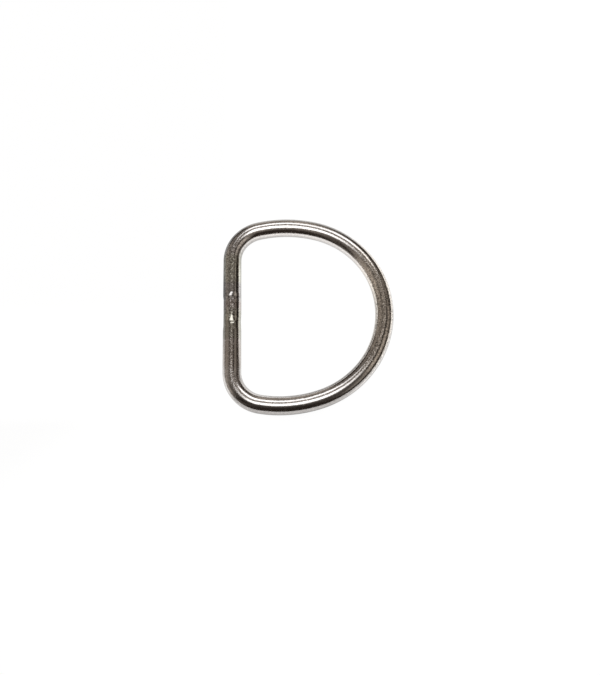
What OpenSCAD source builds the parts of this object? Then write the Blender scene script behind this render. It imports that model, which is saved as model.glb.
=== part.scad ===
// D ring of round drawn wire, bent to a D and butt welded in its straight leg.
// It lies flat with +Z up. The straight leg runs along Y on the -X side, and the bow faces +X.
// The origin is at the middle of the outline, on the plane that the wire rests on.

/* [Strap opening] */
// Clear width along the straight leg, where the strap passes
strap_w = 38; // [26:1:60]
// Clear distance from the straight leg to the top of the bow
reach = 30; // [24:1:50]

/* [Wire] */
// Diameter of the drawn wire
wire_d = 4.1; // [2.5:0.1:6]

/* [Bends] */
// Radius on the inside of the two corner bends
corner_in_r = 5.4; // [3:0.1:9]
// Angle that each corner bend turns through
corner_turn = 79; // [70:1:85]
// Angle that each shoulder turns through, between a corner and the bow
shoulder_turn = 27.5; // [15:0.5:45]

/* [Weld] */
// Length of the weld bead along the straight leg
weld_len = 6.7; // [3:0.1:10]
// Distance from the middle of the leg to the middle of the bead, towards +Y
weld_y = 1.5; // [-6:0.1:6]
// Height of the bead's middle over the wire
weld_rise = 0.03; // [0.02:0.01:0.2]
// Distance that the bead is pushed towards the inside of the ring
weld_shift = 0.1; // [0.02:0.01:0.2]
// Depth of the neck at each end of the bead
neck_depth = 0.1; // [0.03:0.01:0.3]
// Radius of the hollow of each neck, along the leg
neck_r = 2; // [1:0.1:8]

/* [Hidden] */
$fn = 96;

// Where two stretches of wire meet, a ball this much larger in radius holds both their ends.
joint_rise = 0.005;
// Each stretch stops this far short of the joint, well inside the ball.
joint_gap = 0.03;

wire_r = wire_d / 2;

// The bends are drawn on the middle line of the wire, with the leg on x = 0.
half_width = strap_w / 2 + wire_r;
depth = reach + wire_d;
corner_r = corner_in_r + wire_r;
bow_start = corner_turn + shoulder_turn;

// The shoulder and bow radii are the pair that meets both the width and the depth:
//   shoulder_r * (1 - sin(bow_start)) + bow_r * sin(bow_start) = half_width
//   shoulder_r * shoulder_run + bow_r * (1 + cos(bow_start)) = depth_left
shoulder_run = cos(corner_turn) - cos(bow_start);
depth_left = depth - corner_r * (1 - cos(corner_turn));
shoulder_r = (depth_left * sin(bow_start) - half_width * (1 + cos(bow_start)))
    / (shoulder_run * sin(bow_start) - (1 - sin(bow_start)) * (1 + cos(bow_start)));
bow_r = (half_width - shoulder_r * (1 - sin(bow_start))) / sin(bow_start);

// Centres of the bends on the +Y side, and of the bow
half_leg = half_width - corner_r * sin(corner_turn) - shoulder_r * (1 - sin(corner_turn));
corner_at = [corner_r, half_leg];
shoulder_at = around(corner_at, corner_r - shoulder_r, 180 - corner_turn);
bow_at = [depth - bow_r, 0];

// The bead is a barrel whose side is one arc from neck to neck.
bead_r = wire_r + weld_rise;
bead_bulge = weld_rise + neck_depth;
bead_side_r = (pow(weld_len / 2, 2) + pow(bead_bulge, 2)) / (2 * bead_bulge);

// Point at a distance and an angle from a centre
function around(centre, r, angle) = centre + r * [cos(angle), sin(angle)];

// Wire bent about a centre, from one angle to another
module bend(centre, r, from, to) {
    trim = joint_gap / r * 180 / PI;
    translate(centre)
        rotate([0, 0, from + trim])
            rotate_extrude(angle = to - from - 2 * trim)
                translate([r, 0])
                    circle(d = wire_d);
}

// Ball that joins two stretches of wire on a bend, with its poles along the wire
module joint(centre, r, angle) {
    translate(around(centre, r, angle))
        rotate([90, 0, angle])
            sphere(r = wire_r + joint_rise);
}

// Places its children on the leg's axis, at the middle of the weld
module at_weld() {
    translate([0, weld_y, 0])
        rotate([-90, 0, 0])
            children();
}

// Straight leg with the two necks turned into it
module leg() {
    difference() {
        rotate([90, 0, 0])
            cylinder(d = wire_d, h = 2 * (half_leg - joint_gap), center = true);
        at_weld()
            for (end = [-1, 1])
                translate([0, 0, end * weld_len / 2])
                    rotate_extrude()
                        translate([wire_r - neck_depth + neck_r, 0])
                            circle(r = neck_r);
    }
}

// Bead of the weld, raised as much as it swells, so that the ring still lies flat
module weld_bead() {
    translate([weld_shift, 0, weld_rise])
        at_weld()
            rotate_extrude()
                intersection() {
                    translate([bead_r - bead_side_r, 0])
                        circle(r = bead_side_r);
                    translate([0, -weld_len / 2])
                        square([bead_r, weld_len]);
                }
}

// Corner bend and shoulder on one side, from the leg to the bow
module side() {
    joint(corner_at, corner_r, 180);
    bend(corner_at, corner_r, 180 - corner_turn, 180);
    joint(corner_at, corner_r, 180 - corner_turn);
    bend(shoulder_at, shoulder_r, 180 - bow_start, 180 - corner_turn);
    joint(bow_at, bow_r, 180 - bow_start);
}

// Round top of the D
module bow() {
    bend(bow_at, bow_r, bow_start - 180, 180 - bow_start);
}

module d_ring() {
    color([0.72, 0.70, 0.67])
        translate([-depth / 2, 0, wire_r + joint_rise]) {
            leg();
            weld_bead();
            side();
            mirror([0, 1, 0]) side();
            bow();
        }
}

d_ring();
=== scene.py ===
"""A welded D ring of nickel plated wire, lying on a pale table under soft studio light."""

import math

import bpy
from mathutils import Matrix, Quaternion, Vector


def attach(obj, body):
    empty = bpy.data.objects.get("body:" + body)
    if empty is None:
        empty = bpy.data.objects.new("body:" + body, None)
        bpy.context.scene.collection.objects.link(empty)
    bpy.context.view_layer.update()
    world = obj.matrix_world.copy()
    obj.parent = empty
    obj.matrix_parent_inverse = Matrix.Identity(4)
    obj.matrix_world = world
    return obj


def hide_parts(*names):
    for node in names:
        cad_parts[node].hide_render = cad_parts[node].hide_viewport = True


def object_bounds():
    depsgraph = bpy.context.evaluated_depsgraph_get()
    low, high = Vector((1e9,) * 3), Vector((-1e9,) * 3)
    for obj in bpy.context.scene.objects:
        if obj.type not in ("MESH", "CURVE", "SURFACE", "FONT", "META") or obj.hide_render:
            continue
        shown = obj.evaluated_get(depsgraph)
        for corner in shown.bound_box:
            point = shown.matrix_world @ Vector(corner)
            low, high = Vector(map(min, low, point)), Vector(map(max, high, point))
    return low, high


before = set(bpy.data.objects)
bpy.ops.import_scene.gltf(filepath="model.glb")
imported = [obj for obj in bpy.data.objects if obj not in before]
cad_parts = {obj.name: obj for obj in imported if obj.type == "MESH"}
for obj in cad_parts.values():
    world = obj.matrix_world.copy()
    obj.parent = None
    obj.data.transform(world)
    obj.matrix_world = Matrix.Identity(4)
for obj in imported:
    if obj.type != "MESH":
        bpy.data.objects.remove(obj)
cad_low, cad_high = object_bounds()

# Units
MM = 0.001
MICRON = 0.001 * MM

# Sizes of the ring, the same as in the CAD part
STRAP_WIDTH = 38 * MM
REACH = 30 * MM
WIRE = 4.1 * MM
CORNER_INSIDE = 5.4 * MM
CORNER_TURN = math.radians(79)
SHOULDER_TURN = math.radians(27.5)
WELD_LENGTH = 6.7 * MM
WELD_Y = 1.5 * MM
OFF_THE_TABLE = 0.005 * MM

# The wire through the weld: place along the leg, push of its middle towards the inside of the
# ring, and growth of its radius, all in mm
WELD_SHAPE = (
    (4.6, 0.0, 0.0),
    (3.4, 0.055, -0.035),
    (0.6, 0.055, -0.035),
    (-0.4, 0.03, -0.06),
    (-1.6, 0.0, -0.095),
    (-2.5, 0.02, -0.07),
    (-4.0, 0.0, 0.0),
)

# The neck in the top of the wire at each end of the bead: its direction along Y and distance from
# the middle of the weld, its share of the full depth, how far its hollow lies inwards, and the
# length and steepness of its two slopes
NECK_DEPTH = 0.24 * MM
NECK_HALF_WIDTH = 1.7 * MM
NECKS = (
    {"way": 1, "distance": 2.55 * MM, "share": 1.00, "inwards": 0.95 * MM,
     "wire_slope": (0.85 * MM, 1.05), "bead_slope": (3.8 * MM, 1.15)},
    {"way": -1, "distance": WELD_LENGTH / 2, "share": 0.79, "inwards": 0.20 * MM,
     "wire_slope": (0.75 * MM, 1.5), "bead_slope": (WELD_LENGTH / 2, 4.5)},
)

# Small lumps on the skin of the bead, and the level of them that stays where the skin was
LUMP_SIZE = 0.8 * MM
LUMP_HEIGHT = 0.04 * MM
LUMP_LEVEL = 0.85

# How finely the wire is modelled
WIRE_SIDES = 88
BEND_STEP = 0.4 * MM
LEG_STEP = 0.4 * MM
WELD_STEP = 0.08 * MM
FINE_REACH = WELD_LENGTH / 2 + 2.2 * MM
DOUBLES = 0.005 * MM
TINY = 1e-9

# Camera, fitted to the ring in the photograph
CAMERA_LENS = 38.59
CAMERA_DISTANCE = 162.05 * MM
CAMERA_ELEVATION = math.radians(70.387)
CAMERA_AZIMUTH = math.radians(4.073)
CAMERA_ROLL = math.radians(6.101)
CAMERA_SHIFT = (-0.0119, -0.0376)
CAMERA_CLIP = (0.01, 20)

# The bends are worked out on the middle line of the wire
wire_r = WIRE / 2
half_width = STRAP_WIDTH / 2 + wire_r
depth = REACH + WIRE
corner_r = CORNER_INSIDE + wire_r
bow_start = CORNER_TURN + SHOULDER_TURN
shoulder_run = math.cos(CORNER_TURN) - math.cos(bow_start)
depth_left = depth - corner_r * (1 - math.cos(CORNER_TURN))
shoulder_r = (depth_left * math.sin(bow_start) - half_width * (1 + math.cos(bow_start))) / (
    shoulder_run * math.sin(bow_start) - (1 - math.sin(bow_start)) * (1 + math.cos(bow_start)))
bow_r = (half_width - shoulder_r * (1 - math.sin(bow_start))) / math.sin(bow_start)
half_leg = (half_width - corner_r * math.sin(CORNER_TURN)
            - shoulder_r * (1 - math.sin(CORNER_TURN)))

# Places in the frame of the part
leg_x = -depth / 2
middle_z = cad_low.z + wire_r + OFF_THE_TABLE
corner_at = Vector((leg_x + corner_r, half_leg, middle_z))
shoulder_at = corner_at + (corner_r - shoulder_r) * Vector(
    (-math.cos(CORNER_TURN), math.sin(CORNER_TURN), 0))
bow_at = Vector((depth / 2 - bow_r, 0, middle_z))


def colour(red, green, blue):
    return (red, green, blue, 1)


class Value:
    """A socket in a node tree. Sums written with it add Math nodes."""

    def __init__(self, nodes, socket):
        self.nodes, self.socket = nodes, socket

    def math(self, operation, *others):
        return self.nodes.add("ShaderNodeMath", {"operation": operation}, [self, *others])

    def __add__(self, other): return self.math("ADD", other)
    def __sub__(self, other): return self.math("SUBTRACT", other)
    def __mul__(self, other): return self.math("MULTIPLY", other)
    def __truediv__(self, other): return self.math("DIVIDE", other)
    def __radd__(self, other): return self.math("ADD", other)
    def __rmul__(self, other): return self.math("MULTIPLY", other)
    def __rsub__(self, other): return (self * -1).math("ADD", other)

    def at_least(self, low): return self.math("MAXIMUM", low)
    def at_most(self, high): return self.math("MINIMUM", high)

    def fade(self, start, end):
        """0 at start and 1 at end, with a soft run between them."""
        return self.nodes.add(
            "ShaderNodeMapRange", {"interpolation_type": "SMOOTHSTEP"},
            {"Value": self, "From Min": start, "From Max": end})

    def near(self, middle, full, gone):
        """1 up to one distance from a middle, and 0 from the other distance on."""
        return (self - middle).math("ABSOLUTE").fade(gone, full)


class Nodes:
    """The node tree of a material or of the world."""

    def __init__(self, owner):
        owner.use_nodes = True
        self.tree = owner.node_tree
        self.tree.nodes.clear()

    def add(self, kind, settings=None, inputs=None, output=0):
        """A node with its settings, and the values or links of its sockets."""
        node = self.tree.nodes.new(kind)
        for name, value in (settings or {}).items():
            setattr(node, name, value)
        pairs = inputs.items() if isinstance(inputs, dict) else enumerate(inputs or [])
        for name, value in pairs:
            if isinstance(value, Value):
                self.tree.links.new(value.socket, node.inputs[name])
            else:
                node.inputs[name].default_value = value
        return Value(self, node.outputs[output])

    def place(self):
        """The place on the object itself."""
        return self.add("ShaderNodeTexCoord", output=3)

    def parts(self, vector):
        """The three numbers of a vector."""
        split = self.add("ShaderNodeSeparateXYZ", {}, [vector]).socket.node
        return [Value(self, out) for out in split.outputs]

    def vector(self, x, y, z):
        return self.add("ShaderNodeCombineXYZ", {}, [x, y, z])

    def noise(self, at, size, detail, roughness):
        """Soft spots of one size, about zero."""
        return self.add("ShaderNodeTexNoise", {}, {
            "Vector": at, "Scale": 1 / size, "Detail": detail, "Roughness": roughness}) - 0.5

    def blend(self, amount, first, second):
        """Two colours mixed by an amount."""
        return self.add("ShaderNodeMix", {"data_type": "RGBA"},
                        {0: amount, 6: first, 7: second}, output=2)

    def scale(self, vector, amount):
        """A colour or vector made larger or smaller by an amount."""
        return self.add("ShaderNodeVectorMath", {"operation": "SCALE"},
                        {"Vector": vector, "Scale": amount})

    def finish(self, kind, shader):
        """Feeds the shader to the last node of the tree."""
        end = self.tree.nodes.new(kind)
        self.tree.links.new(shader.socket, end.inputs["Surface"])


# The room that the ring mirrors. Places and half sizes are in degrees from straight up, as (to
# the side, away from the camera).
ROOM_GREY = 0.267
ROOM_DARKEST = 0.033
# Green and blue of the warm grey: share of the red, and what is added to it
ROOM_GREEN = (0.92, -0.005)
ROOM_BLUE = (0.83, -0.006)
# Soft lamps and flags: place, half size, and how much each adds to the room's grey
ROOM_PATCHES = (
    ((-58.0, -0.8), (21.1, 19.7), 0.258),
    ((43.9, -23.4), (12.8, 33.3), 0.247),
    ((-13.7, 91.9), (11.3, 21.5), 0.231),
    ((-92.1, -14.7), (20.5, 15.3), 0.321),
    ((0.0, 20.7), (13.1, 3.6), 0.08),
    ((7.7, 61.7), (3.5, 16.2), 0.188),
    ((-58.5, -15.8), (30.5, 19.6), -0.216),
    ((-24.5, -70.4), (87.7, 36.6), -0.236),
    ((55.9, 76.3), (30.6, 38.3), -0.26),
    ((-20.1, 49.7), (13.8, 51.5), -0.118),
    ((79.9, -6.8), (16.9, 33.7), -0.180),
    ((65.5, -56.6), (25.9, 30.5), -0.186),
    ((28.4, 5.9), (10.0, 24.0), -0.20),
    ((71.0, 25.8), (21.3, 10.0), -0.14),
    ((-56.9, 77.8), (29.4, 16.5), -0.430),
    ((0.0, -68.0), (30.0, 16.0), -0.05),
)
PATCH_EDGE = 0.6
# The window light: its left side, the softness of its sides, its near and far edge, and its right
# side, which slants and turns in past a bend
WINDOW_LEFT = -12
WINDOW_SIDE_EDGE = 3
WINDOW_NEAR = (29.2, 32.2)
WINDOW_FAR = (52.9, 47.9)
WINDOW_RIGHT = 25.7
WINDOW_SLANT_FROM, WINDOW_SLANT = 24, 0.24
WINDOW_BEND_FROM, WINDOW_BEND = 40, 0.93
WINDOW_LIGHT = colour(1.85, 1.88, 1.92)
# The softbox over the ring and the small flag behind it: place, half size, softness and light
SOFTBOX = ((-2.5, -2.6), (15.3, 13.1), 0.49, colour(2.45, 2.5, 2.55))
SMALL_FLAG = ((4.5, 19.6), (5.9, 5.9), 0.3, colour(0.21, 0.19, 0.175))
WHITE = colour(1, 1, 1)


def light_studio():
    """A room of warm grey with a window light, a softbox overhead and dark flags round the ring."""
    world = bpy.data.worlds.new("studio")
    bpy.context.scene.world = world
    n = Nodes(world)
    facing = n.add("ShaderNodeMapping", {"vector_type": "POINT"}, {
        "Vector": n.add("ShaderNodeTexCoord"), "Rotation": (0, 0, -CAMERA_AZIMUTH)})
    x, y, z = n.parts(facing)
    tilt = z.math("ARCCOSINE") * (180 / math.pi)
    flat = (x * x + y * y + 1e-8).math("SQRT")
    side = x / flat * tilt
    far = y / flat * tilt

    def patch(at, size, softness=PATCH_EDGE):
        """An oval patch of the room with a soft edge."""
        u = (side - at[0]) / size[0]
        v = (far - at[1]) / size[1]
        return (u * u + v * v).math("SQRT").fade(1 + softness, 1 - softness)

    grey = ROOM_GREY
    for at, size, amount in ROOM_PATCHES:
        grey = grey + patch(at, size) * amount
    grey = grey.at_least(ROOM_DARKEST)
    green, blue = (grey * share + added for share, added in (ROOM_GREEN, ROOM_BLUE))
    room = n.vector(grey, green, blue)

    window_right = (WINDOW_RIGHT + (far - WINDOW_SLANT_FROM) * WINDOW_SLANT
                    - (far - WINDOW_BEND_FROM).at_least(0) * WINDOW_BEND)
    window = ((side - WINDOW_LEFT).fade(-WINDOW_SIDE_EDGE, WINDOW_SIDE_EDGE)
              * (window_right - side).fade(-WINDOW_SIDE_EDGE, WINDOW_SIDE_EDGE)
              * far.fade(*WINDOW_NEAR) * far.fade(*WINDOW_FAR))
    room = n.blend(window, room, WINDOW_LIGHT)
    for at, size, softness, light in (SOFTBOX, SMALL_FLAG):
        room = n.blend(patch(at, size, softness), room, light)

    # The camera sees a white backdrop past the table's edge
    seen_by_camera = n.add("ShaderNodeLightPath")
    room = n.blend(seen_by_camera, room, WHITE)
    n.finish("ShaderNodeOutputWorld", n.add("ShaderNodeBackground", {}, [room, 1.0]))


# The paper on the table as the ring mirrors it, and the shade on it by the wire
TABLE_SIZE = 6
PAPER_WHITE = 1.15
PAPER_DARKEST = 0.1
PAPER_TINT = (0.985, 1.0, 1.01)
SHADE_REACH = 4 * MM
SHADE_TOWARDS = (-0.35, 0.75, 0.50)
SHADE_DEPTH = 0.75
# How even the paper is to the camera, from 0, as the ring mirrors it, to 1, plain white
PAPER_EVEN = 0.93
# Half sizes of the paper inside the ring
EYE_HALF_DEPTH = 17 * MM
EYE_HALF_WIDTH = 21 * MM


def painted_shade_zones(n):
    """How much painted shade the paper has in soft zones inside and outside the ring, and its far
    corner.
    """
    x, y, _ = n.parts(n.place())
    # 0 where the paper is seen from above and 1 where it is seen from the side
    side_on = n.add("ShaderNodeLayerWeight", {}, {"Blend": 0.5}, output=1)
    low_view = side_on.fade(0.45, 0.75)

    # The paper inside the ring is an oval, squarer on the side of the leg
    u = x * x / EYE_HALF_DEPTH ** 2
    v = y * y / EYE_HALF_WIDTH ** 2
    oval = (u + v).fade(1.1, 0.9)
    squarer = (u * u + v * v).fade(1.1, 0.9) * x.fade(-2 * MM, -6 * MM)
    inside = oval.math("MAXIMUM", squarer)

    to_corner = y * 0.8 - x * 0.6
    in_corner = to_corner.fade(15 * MM, 19 * MM)
    near_half = to_corner.fade(-0.5 * MM, -5 * MM)
    far_half = y.fade(-1 * MM, 3 * MM)
    painted_shade_inside = (near_half * (0.32 + 0.73 * side_on.fade(0.38, 0.62))
                   + far_half * side_on.fade(0.78, 0.93)
                   + in_corner * 0.3)

    by_corner = to_corner.fade(6 * MM, 18 * MM)
    past_leg = x.fade(-18 * MM, -19.5 * MM)
    upper_leg = y.fade(1 * MM, 6 * MM)
    past_near_side = y.fade(-19 * MM, -24 * MM)
    painted_shade_outside = (by_corner * (0.35 + 0.25 * low_view)
                    + past_leg * (0.27 - 0.25 * low_view + 0.23 * upper_leg)
                    + past_near_side * 0.44)
    return inside * painted_shade_inside + (1 - inside) * painted_shade_outside, inside * in_corner


def lay_table():
    """The pale table top, even to the camera, with painted shade in zones where the ring mirrors
    it.
    """
    bpy.ops.object.select_all(action="DESELECT")
    bpy.ops.mesh.primitive_plane_add(size=TABLE_SIZE, location=(0, 0, cad_low.z))
    bpy.ops.object.transform_apply(location=True, rotation=True, scale=True)
    table = bpy.context.object
    table.name = "table_top"
    paper = bpy.data.materials.new("pale_paper")
    n = Nodes(paper)
    # The wire's soft shade falls on the paper to its right and towards the camera
    open_sky = n.add("ShaderNodeAmbientOcclusion", {"samples": 8}, {
        "Distance": SHADE_REACH, "Normal": n.vector(*SHADE_TOWARDS)}, output=1)
    # Painted shade in zones of the paper, standing in for shadows that the ring mirrors
    painted_shade, far_corner = painted_shade_zones(n)
    shade = (1 - open_sky) * (SHADE_DEPTH - far_corner * 0.4)
    mirrored = (1 - shade) * (PAPER_WHITE - painted_shade).at_least(PAPER_DARKEST)
    seen_by_camera = n.add("ShaderNodeLightPath")
    glow = n.vector(*[mirrored * tint + seen_by_camera * (1 - mirrored * tint) * PAPER_EVEN
                      for tint in PAPER_TINT])
    n.finish("ShaderNodeOutputMaterial", n.add("ShaderNodeBsdfPrincipled", {}, {
        "Base Color": colour(0.12, 0.12, 0.12), "Roughness": 0.9, "Specular IOR Level": 0.0,
        "Emission Color": glow, "Emission Strength": 1.0}))
    table.data.materials.append(paper)


def weld_profile(y):
    """Radius and sideways shift of the wire at a place along the leg."""
    for before, after in zip(WELD_SHAPE, WELD_SHAPE[1:]):
        if after[0] * MM <= y <= before[0] * MM:
            t = (before[0] * MM - y) / ((before[0] - after[0]) * MM)
            t = t * t * (3 - 2 * t)
            shift, growth = ((before[i] + (after[i] - before[i]) * t) * MM for i in (1, 2))
            return wire_r + growth, shift
    return wire_r, 0.0


def pull_wire(from_y, to_y):
    """Pulls the open end of the wire along the leg, and gives it the profile of the weld."""
    y = from_y
    radius, shift = weld_profile(y)
    while y < to_y - TINY:
        step = WELD_STEP if abs(y - WELD_Y) < FINE_REACH else LEG_STEP
        new_y = to_y if to_y - y < 1.5 * step else y + step
        new_radius, new_shift = weld_profile(new_y)
        bpy.ops.mesh.extrude_region_move(TRANSFORM_OT_translate={
            "value": (new_shift - shift, new_y - y, 0)})
        bpy.ops.transform.resize(
            value=(new_radius / radius,) * 3,
            center_override=(leg_x + new_shift, new_y, middle_z))
        y, radius, shift = new_y, new_radius, new_shift


def bend_wire(centre, radius, turn):
    """Carries the open end of the wire round a centre."""
    bpy.ops.mesh.spin(steps=math.ceil(radius * turn / BEND_STEP), angle=turn,
                      center=centre, axis=(0, 0, 1))


def across(point):
    """The same point on the other side of the ring."""
    return Vector((point.x, -point.y, point.z))


def form_ring():
    """Bends the wire to a D, from the weld up the leg, round the bow and back to the weld."""
    bpy.ops.object.select_all(action="DESELECT")
    radius, shift = weld_profile(WELD_Y)
    bpy.ops.mesh.primitive_circle_add(
        vertices=WIRE_SIDES, radius=radius, fill_type="NOTHING",
        location=(leg_x + shift, WELD_Y, middle_z), rotation=(math.pi / 2, 0, 0))
    bpy.ops.object.transform_apply(location=True, rotation=True, scale=True)
    ring = bpy.context.object
    ring.name = "welded_ring"
    bpy.ops.object.mode_set(mode="EDIT")
    bpy.ops.mesh.select_all(action="SELECT")
    pull_wire(WELD_Y, half_leg)
    bend_wire(corner_at, corner_r, CORNER_TURN)
    bend_wire(shoulder_at, shoulder_r, SHOULDER_TURN)
    bend_wire(bow_at, bow_r, 2 * (math.pi - bow_start))
    bend_wire(across(shoulder_at), shoulder_r, SHOULDER_TURN)
    bend_wire(across(corner_at), corner_r, CORNER_TURN)
    pull_wire(-half_leg, WELD_Y)
    bpy.ops.mesh.select_all(action="SELECT")
    bpy.ops.mesh.remove_doubles(threshold=DOUBLES)
    bpy.ops.mesh.normals_make_consistent(inside=False)
    bpy.ops.object.mode_set(mode="OBJECT")
    bpy.ops.object.shade_smooth()
    return ring


def mark_wire(ring):
    """Keeps on each point its place across the wire and its distance along it from the weld."""
    corner_end = half_leg + corner_r * CORNER_TURN
    shoulder_end = corner_end + shoulder_r * SHOULDER_TURN
    whole = 2 * (shoulder_end + bow_r * (math.pi - bow_start))
    # Each bend's centre and radius, its first and last angle, and the wire before it
    bends = (
        (corner_at, corner_r, 0, CORNER_TURN, half_leg),
        (shoulder_at, shoulder_r, CORNER_TURN, bow_start, corner_end),
        (bow_at, bow_r, bow_start, math.pi, shoulder_end),
    )
    places = ring.data.attributes.new("along_wire", "FLOAT_VECTOR", "POINT")
    for point in ring.data.vertices:
        x, y, z = point.co
        way_back = y < 0
        y = abs(y)
        if x < corner_at.x and y <= half_leg:
            out = leg_x - x
            run = y
        else:
            for centre, radius, first, last, before in bends:
                turn = math.atan2(y - centre.y, centre.x - x)
                if 0 <= turn <= last:
                    break
            out = math.hypot(x - centre.x, y - centre.y) - radius
            run = before + radius * (turn - first)
        along = whole - run - WELD_Y if way_back else (run - WELD_Y) % whole
        places.data[point.index].vector = (out, z - middle_z, along)


def press_ring(ring, name, strength, share_at, texture=None):
    """Moves the leg's skin by a share for each place: down, or in and out by a texture."""
    group = ring.vertex_groups.new(name=name)
    for point in ring.data.vertices:
        share = share_at(point.co) if point.co.x < leg_x + 3 * MM else 0
        if share > 0:
            group.add([point.index], share, "REPLACE")
    push = ring.modifiers.new(name, "DISPLACE")
    push.vertex_group = name
    push.strength = strength
    if texture:
        push.texture = texture
        push.texture_coords = "LOCAL"
        push.mid_level = LUMP_LEVEL
    else:
        push.direction = "Z"
        push.mid_level = 0.0
    bpy.context.view_layer.objects.active = ring
    bpy.ops.object.modifier_apply(modifier=name)


def dress_weld(ring):
    """Presses in the tops of the two necks, and gives the bead lumps of metal that ran and set."""
    def neck_top(at):
        total = 0.0
        for neck in NECKS:
            across_top = (at.x - leg_x - neck["inwards"]) / NECK_HALF_WIDTH
            past = (at.y - WELD_Y) * neck["way"] - neck["distance"]
            length, steepness = neck["wire_slope"] if past > 0 else neck["bead_slope"]
            if at.z > middle_z and abs(across_top) < 1 and abs(past) < length:
                total += (neck["share"] * (1 - abs(past) / length) ** steepness
                          * (1 - across_top ** 2) ** 1.5)
        return total

    def bead_skin(at):
        return max(0.0, 1 - ((at.y - WELD_Y) / (WELD_LENGTH / 2 - 0.3 * MM)) ** 4)

    lumps = bpy.data.textures.new("weld_lumps", "CLOUDS")
    lumps.noise_scale = LUMP_SIZE
    lumps.noise_depth = 2
    press_ring(ring, "neck_tops", -NECK_DEPTH, neck_top)
    press_ring(ring, "bead_skin", LUMP_HEIGHT, bead_skin, lumps)


# The plate's own colour, and the warmer one that it has on the bow
PLATE = colour(0.68, 0.64, 0.61)
WARM_PLATE = colour(0.68, 0.62, 0.555)
# Heat stains along the leg: middle, half length, and the plate's colour there
HEAT_STAINS = (
    (10.0 * MM, 4.2 * MM, colour(0.61, 0.59, 0.515)),
    (5.3 * MM, 2.0 * MM, colour(0.49, 0.465, 0.445)),
    (1.9 * MM, 1.1 * MM, colour(0.50, 0.445, 0.415)),
    (-2.2 * MM, 3.0 * MM, colour(0.50, 0.475, 0.41)),
    (-4.9 * MM, 1.2 * MM, colour(0.49, 0.465, 0.41)),
    (-9.4 * MM, 3.2 * MM, colour(0.54, 0.49, 0.45)),
)
STAIN_EDGE = 0.35
STAIN_WANDER = 1.5 * MM
# Width and length of the drawing lines
FINE_LINES = (0.22 * MM, 14 * MM)
BROAD_LINES = (0.7 * MM, 40 * MM)
# Sizes of the spots in the plate
SPECK_SIZE = 0.27 * MM
MOTTLE_SIZE = 0.35 * MM
PATCH_SIZE = 1.6 * MM
# Least and most that the grain leaves of the plate's brightness
DARKEST_GRAIN = 0.30
LIGHTEST_GRAIN = 1.45
# How dark the painted shade is on the leg's outer side, in a line inside it, and in the near band
OUTER_FLANK_SHADE_DARK = 0.4
INNER_LINE_DARK = 0.7
NEAR_BAND_DARK = 0.62
# Roughness of the plate, and the least that it has anywhere
POLISH = 0.10
BEST_POLISH = 0.05


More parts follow.
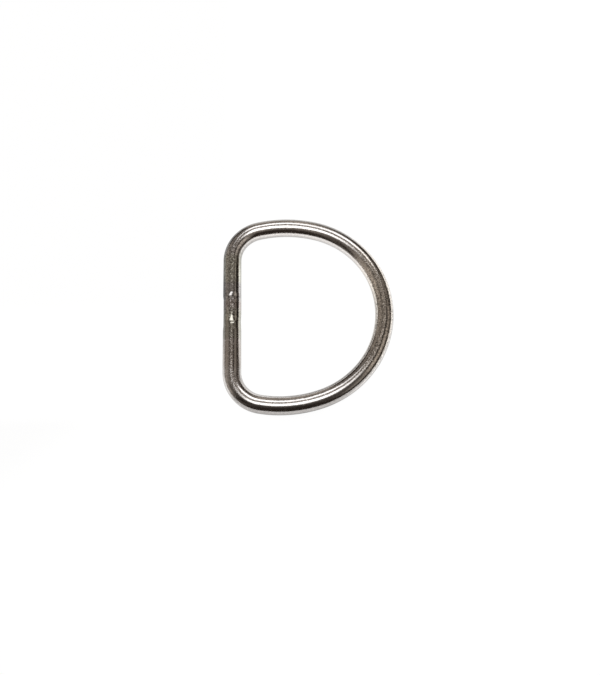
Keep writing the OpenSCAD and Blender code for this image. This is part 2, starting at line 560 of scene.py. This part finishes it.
def plate_ring(ring):
    """Bright nickel on drawn wire: lines along the wire, fine mottling, marks of the weld, and
    painted shade on the flanks.
    """
    nickel = bpy.data.materials.new("nickel_plate")
    n = Nodes(nickel)
    here = n.place()
    x, y, _ = n.parts(here)
    out, up, along = n.parts(
        n.add("ShaderNodeAttribute", {"attribute_name": "along_wire"}, output=1))
    # Place across the wire, from -1 inside the ring to 1 outside
    round_wire = out / wire_r

    def lines(width, length):
        """Streaks that follow the wire."""
        at = n.vector(out / width, up / width, along / length)
        return n.noise(at, 1.0, detail=1.5, roughness=0.6)

    fine_lines = lines(*FINE_LINES)
    broad_lines = lines(*BROAD_LINES)
    mottle = n.noise(here, MOTTLE_SIZE, detail=2, roughness=0.6)
    specks = n.noise(here, SPECK_SIZE, detail=1, roughness=0.5)
    patches = n.noise(here, PATCH_SIZE, detail=2, roughness=0.6)

    # Parts of the ring
    on_leg = x.fade(leg_x + 4 * MM, leg_x + 3 * MM)
    upper_leg = y.fade(2 * MM, 8 * MM) * on_leg
    on_bow = x.fade(9 * MM, 15 * MM)
    lower_bow = on_bow * y.fade(15 * MM, 6 * MM)
    top_side = up.fade(0.3 * MM, 1.5 * MM)
    weld = y.near(WELD_Y, WELD_LENGTH / 2 - 0.6 * MM, WELD_LENGTH / 2 + 1.0 * MM) * on_leg
    bead = y.near(WELD_Y, WELD_LENGTH / 2 - 1.0 * MM, WELD_LENGTH / 2) * on_leg
    neck = (weld - bead).at_least(0).at_most(1)

    tint = n.blend(on_bow * round_wire.fade(0.90, 0.75), PLATE, WARM_PLATE)
    for middle, half_length, stained in HEAT_STAINS:
        stain = (y + patches * STAIN_WANDER).near(
            middle, half_length * (1 - STAIN_EDGE), half_length * (1 + STAIN_EDGE)) * on_leg
        tint = n.blend(stain, tint, stained)

    # Painted shade: on the leg's outer side, in a dark line on its inner side, and in a band on the
    # near side
    painted_outer_flank_shade = y.near(WELD_Y, 5 * MM, 11 * MM) * on_leg * round_wire.fade(0.55, 0.9)
    # A line of painted shade along the leg's inner side, deepening a dark reflection
    painted_inner_dark_line = ((round_wire + bead * 0.09).near(-0.60, 0.03, 0.12)
                  * y.near(4.2 * MM, 6.5 * MM, 8.5 * MM) * on_leg)
    # A band of painted shade across the near side of the wire
    painted_near_shade_band = (y.fade(-12 * MM, -17 * MM)
                 * round_wire.fade(0.19, 0.31) * round_wire.fade(0.80, 0.70)
                 * (1 - round_wire.fade(0.46, 0.58) * 0.65))

    # The spots are coarser on the top side, most of all on the bead, the upper leg and the bow
    coarse = 0.6 + top_side * (0.4 + bead * 1.3 + upper_leg * 1.5 + lower_bow * 1.7)
    grain = (1 + fine_lines * 0.6 + broad_lines * (0.6 + on_bow * 0.4) + patches * 0.25
             + (mottle + specks * 0.75) * coarse)
    shade = (grain.at_least(DARKEST_GRAIN).at_most(LIGHTEST_GRAIN)
             * (1 - painted_outer_flank_shade * OUTER_FLANK_SHADE_DARK) * (1 - painted_inner_dark_line * INNER_LINE_DARK)
             * (1 - painted_near_shade_band * NEAR_BAND_DARK))

    pits = specks.fade(0.03, 0.13) * (1 - neck)
    rough = (POLISH + fine_lines * 0.08 + mottle * 0.08 + weld * 0.03
             + pits * (0.12 + on_leg * 0.07 - upper_leg * 0.04))

    spots = mottle * (4.5 * MICRON) + specks * (5 * MICRON)
    height = (fine_lines * (2 * MICRON) + broad_lines * (4 * MICRON)
              + spots * (1 + bead * 2.2 + on_bow * 0.6 - neck * 0.7))
    bump = n.add("ShaderNodeBump", {}, {"Strength": 1.0, "Distance": 1.0, "Height": height})
    n.finish("ShaderNodeOutputMaterial", n.add("ShaderNodeBsdfPrincipled", {}, {
        "Base Color": n.scale(tint, shade), "Metallic": 1.0,
        "Roughness": rough.at_least(BEST_POLISH), "Normal": bump}))
    ring.data.materials.append(nickel)


def set_camera():
    """The camera looks down at the ring from the photograph's angle."""
    data = bpy.data.cameras.new("photo_view")
    camera = bpy.data.objects.new("photo_view", data)
    bpy.context.scene.collection.objects.link(camera)
    bpy.context.scene.camera = camera
    data.lens = CAMERA_LENS
    data.shift_x, data.shift_y = CAMERA_SHIFT
    data.clip_start, data.clip_end = CAMERA_CLIP
    back = Vector((math.sin(CAMERA_AZIMUTH) * math.cos(CAMERA_ELEVATION),
                   -math.cos(CAMERA_AZIMUTH) * math.cos(CAMERA_ELEVATION),
                   math.sin(CAMERA_ELEVATION)))
    camera.location = Vector((0, 0, middle_z)) + back * CAMERA_DISTANCE
    camera.rotation_mode = "QUATERNION"
    camera.rotation_quaternion = ((-back).to_track_quat("-Z", "Y")
                                  @ Quaternion((0, 0, 1), -CAMERA_ROLL))


light_studio()
lay_table()
ring = form_ring()
mark_wire(ring)
dress_weld(ring)
plate_ring(ring)
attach(ring, "root")
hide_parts("d_ring")
set_camera()
bpy.context.scene.view_settings.view_transform = "Standard"
